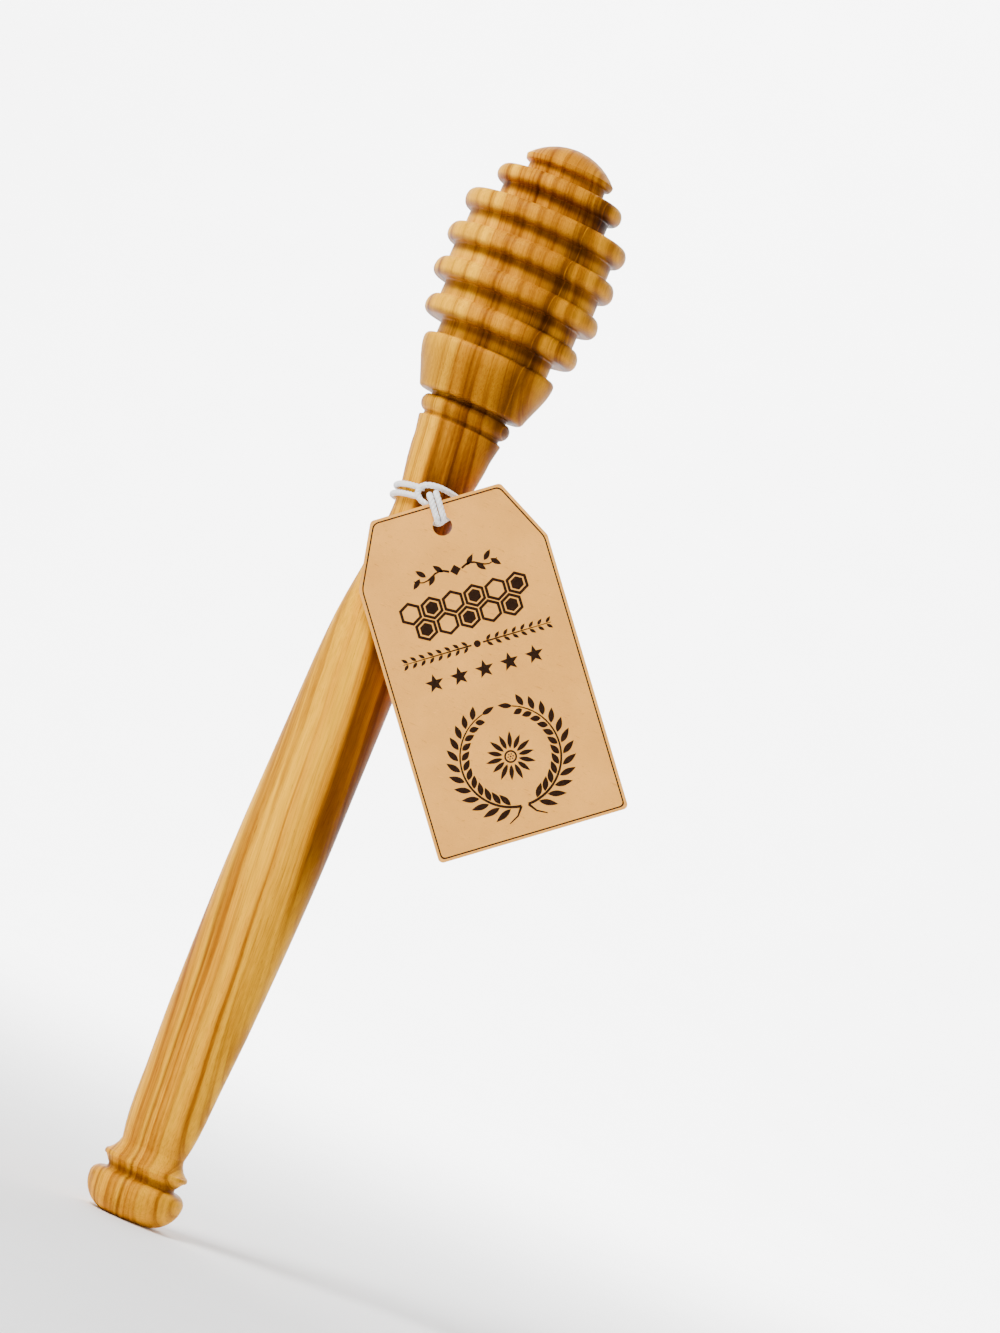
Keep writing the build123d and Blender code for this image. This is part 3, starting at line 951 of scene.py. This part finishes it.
def flourish(side):
    """Half of the flourish: a wavy stem with leaves over and under it."""
    stem = []
    for i in range(FLOURISH_POINTS):
        wave = WAVE_HEIGHT * math.sin(i * WAVE_STEP)
        stem.append((side * (FLOURISH_START + i * FLOURISH_STEP), FLOURISH_RISE + wave))
    stem_along(stem, FLOURISH_LINE)
    for reach, lean in FLOURISH_LEAVES:
        base = (side * reach, FLOURISH_RISE + FLOURISH_LIFT)
        leaf_at(base, math.radians(90 - side * (90 - lean)), *FLOURISH_LEAF)


for side in (-1, 1):
    flourish(side)
print_shape(ring_of((0, FLOURISH_RISE), DIAMOND_RADIUS, 4))
print("flourish:", len(prints["faces"]), "faces so far")

# %% Honeycomb
COMB_RISE, COMB_ROWS = -13.0, [(0.5, 6), (-0.5, 5)]
CELL_RADIUS, CELL_GAP, CELL_LINE = 1.95, 0.1, 0.5
CELL_STEP, CELL_TURN = CELL_RADIUS * math.sqrt(3), math.pi / 6
HONEY_SHARE = 0.55


def comb_cell(middle, full):
    """One six-sided cell, with honey in it or empty."""
    edge = CELL_RADIUS - CELL_GAP
    inside = ring_of(middle, edge - CELL_LINE, 6, CELL_TURN)
    print_band(ring_of(middle, edge, 6, CELL_TURN), inside)
    if full:
        print_shape(ring_of(middle, CELL_RADIUS * HONEY_SHARE, 6, CELL_TURN))


for row, count in COMB_ROWS:
    for i in range(count):
        place = ((i - (count - 1) / 2) * CELL_STEP, COMB_RISE + row * CELL_RADIUS * 1.5)
        comb_cell(place, (i + count) % 2)
print("honeycomb:", len(prints["faces"]), "faces so far")

# %% Row of leaves
GARLAND_RISE, GARLAND_PITCH, GARLAND_PAIRS = -18.7, 1.35, 8
GARLAND_START, GARLAND_LEAF_START = 0.9, 1.5
GARLAND_LEAN, GARLAND_OFF = 42, 0.14
GARLAND_LINE, GARLAND_LEAF, GARLAND_DOT = 0.26, (1.15, 0.5), 0.55


def garland(side):
    """Half of the row: a straight stem with pairs of leaves."""
    stem = []
    for i in range(GARLAND_PAIRS + 1):
        stem.append((side * (GARLAND_START + i * GARLAND_PITCH), GARLAND_RISE))
    stem_along(stem, GARLAND_LINE)
    for i in range(GARLAND_PAIRS):
        reach = side * (GARLAND_LEAF_START + i * GARLAND_PITCH)
        for turn in (-1, 1):
            lean = 90 - side * 90 + side * turn * GARLAND_LEAN
            base = (reach, GARLAND_RISE + turn * GARLAND_OFF)
            leaf_at(base, math.radians(lean), *GARLAND_LEAF)


for side in (-1, 1):
    garland(side)
print_shape(ring_of((0, GARLAND_RISE), GARLAND_DOT, 10))
print("ornaments over the stars:", len(prints["faces"]), "faces so far")

# %% Wreath
WREATH_MIDDLE, WREATH_RADIUS = (0.0, -36.6), 7.7
WREATH_START, WREATH_SWEEP = 4, 158
BRANCH_LINE, FOOT_LINE = 0.42, 0.4
FOOT_ROUTE = [(0.55, 0.0), (1.5, 1.3), (3.0, 2.1)]
LEAF_PAIRS, LEAF_LEAN, LEAF_OFF = 13, math.radians(42), 0.28
OUTER_LEAF, INNER_LEAF, LEAF_WIDTH, LEAF_SHRINK = 3.1, 2.5, 0.92, 0.04
TIP_LEAF = (2.2, 0.8)
BERRY_OUT, BERRY_AHEAD, BERRY_RADIUS = 1.15, math.radians(5), 0.3


def branch(side):
    """Half of the wreath: a stem from its foot nearly to its top, with leaves on both sides."""
    steps = 2 * LEAF_PAIRS
    turns = []
    for i in range(steps + 1):
        turns.append(math.radians(-90 + side * (WREATH_START + i * WREATH_SWEEP / steps)))
    stem = [point_at(WREATH_MIDDLE, WREATH_RADIUS, turn) for turn in turns]
    stem_along(stem, BRANCH_LINE)
    for i in range(2, steps, 2):
        heading = turns[i] + side * math.pi / 2
        for out, length in ((1, OUTER_LEAF), (-1, INNER_LEAF)):
            base = point_at(stem[i], LEAF_OFF * out, turns[i])
            lean = heading - side * out * LEAF_LEAN
            leaf_at(base, lean, length - LEAF_SHRINK * i, LEAF_WIDTH)
        if i % 4 == 0:
            ahead = turns[i] + side * BERRY_AHEAD
            berry = point_at(WREATH_MIDDLE, WREATH_RADIUS + BERRY_OUT, ahead)
            print_shape(ring_of(berry, BERRY_RADIUS, 8))
    leaf_at(stem[-1], turns[-1] + side * math.pi / 2, *TIP_LEAF)


for side in (-1, 1):
    branch(side)
    foot = WREATH_MIDDLE[1] - WREATH_RADIUS
    stem_along([(side * reach, foot - drop) for reach, drop in FOOT_ROUTE], FOOT_LINE)
print("wreath:", len(prints["faces"]), "faces so far")

# %% Daisy, and the printed layer
PETALS, PETAL_START, PETAL_LENGTH, PETAL_WIDTH, PETAL_CHANGE = 14, 1.25, 2.4, 0.72, 0.25
SEEDS, SEED_REACH, SEED_RADIUS = 6, 0.4, 0.13
EYE_OUTSIDE, EYE_INSIDE, EYE_POINTS, EYE_MIDDLE = 1.0, 0.72, 16, 0.16

for i, base in enumerate(ring_of(WREATH_MIDDLE, PETAL_START, PETALS)):
    length = PETAL_LENGTH + PETAL_CHANGE * (i % 2)
    leaf_at(base, 2 * math.pi * i / PETALS, length, PETAL_WIDTH)
eye = [ring_of(WREATH_MIDDLE, radius, EYE_POINTS) for radius in (EYE_OUTSIDE, EYE_INSIDE)]
print_band(*eye)
for seed in ring_of(WREATH_MIDDLE, SEED_REACH, SEEDS):
    print_shape(ring_of(seed, SEED_RADIUS, 6))
print_shape(ring_of(WREATH_MIDDLE, EYE_MIDDLE, 6))

artwork = mesh_object("card_print", prints["points"], prints["faces"], smooth=False)
artwork.data.materials.append(ink)
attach(artwork, "tag")
print("print:", len(prints["faces"]), "faces in all")

# %% [markdown]
# ## Floor and light
# The photograph has a white ground with a faint shadow, and soft light from the left that
# lets the right side of the wood fall darker. A wide floor that curves up behind stands in
# for the studio's sheet, one large lamp on the left is the main light, and a weak one on
# the right keeps the grooves from going black. Only the sheet's own lamp lights the wall
# behind, as studios do to keep a white ground white without washing out the object. The
# floor lies a hair under the butt, because two faces at one height would flicker.

# %% Floor
FLOOR_HALF, FLOOR_FRONT, FLOOR_BACK, FLOOR_DROP = 2500, -1500, 900, 0.03
COVE_RADIUS, COVE_TOP, COVE_STEPS = 600, 2600, 16


def paper_material():
    """White paper with a faint grain."""
    material, tree, shader = new_material("white_paper")
    tone = ramp_of(tree, noise_of(tree, object_place(tree), 30.0), [(0.3, 0.93), (0.7, 0.96)])
    plug_in(tree, shader, {"Base Color": tone, "Roughness": 0.9})
    return material


def add_floor():
    """A floor that curves up into a wall behind the object."""
    profile = [(FLOOR_FRONT, 0), (FLOOR_BACK, 0)]
    for step in range(1, COVE_STEPS + 1):
        turn = math.pi / 2 * step / COVE_STEPS
        depth, rise = COVE_RADIUS * math.sin(turn), COVE_RADIUS * (1 - math.cos(turn))
        profile.append((FLOOR_BACK + depth, rise))
    profile.append((FLOOR_BACK + COVE_RADIUS, COVE_TOP))
    points = []
    for depth, rise in profile:
        for side in (-1, 1):
            points.append((side * FLOOR_HALF * MM, depth * MM, (rise - FLOOR_DROP) * MM))
    faces = [(2 * i, 2 * i + 1, 2 * i + 3, 2 * i + 2) for i in range(len(profile) - 1)]
    floor = mesh_object("studio_floor", points, faces)
    floor.data.materials.append(paper_material())
    print("floor and wall:", len(faces), "faces")


add_floor()

# %% [markdown]
# Each lamp's row gives its place, its width, its power in watts, and the point that it faces.

# %% Light
STICK_MIDDLE = (5, 0, 95)
LAMPS = {
    "key_lamp": ((-400, -440, 760), 300, 15.0, STICK_MIDDLE),
    "front_lamp": ((150, -900, 500), 700, 1.6, STICK_MIDDLE),
    "fill_lamp": ((700, -250, 200), 500, 0.6, STICK_MIDDLE),
    "sheet_lamp": ((0, 650, 950), 900, 80.0, (0, 1450, 350)),
}
SKY_STRENGTH = 0.25


def add_lamp(name, place, size, power, target):
    """A square lamp that looks at its target."""
    data = bpy.data.lights.new(name, "AREA")
    data.shape = "SQUARE"
    data.size = size * MM
    data.energy = power
    lamp = bpy.data.objects.new(name, data)
    bpy.context.collection.objects.link(lamp)
    lamp.location = Vector(place) * MM
    aim = (Vector(target) - Vector(place)).to_track_quat("-Z", "Y")
    lamp.rotation_euler = aim.to_euler()


for name, row in LAMPS.items():
    add_lamp(name, *row)

world = bpy.data.worlds.new("studio_sky")
world.use_nodes = True
sky = world.node_tree.nodes["Background"]
sky.inputs["Color"].default_value = (1.0, 1.0, 1.0, 1)
sky.inputs["Strength"].default_value = SKY_STRENGTH
bpy.context.scene.world = world
print("lamps:", len(LAMPS))

# %% [markdown] Length of the hitch

print(f"cord: {line_length(hitch_line) / MM:.1f} mm round the neck")
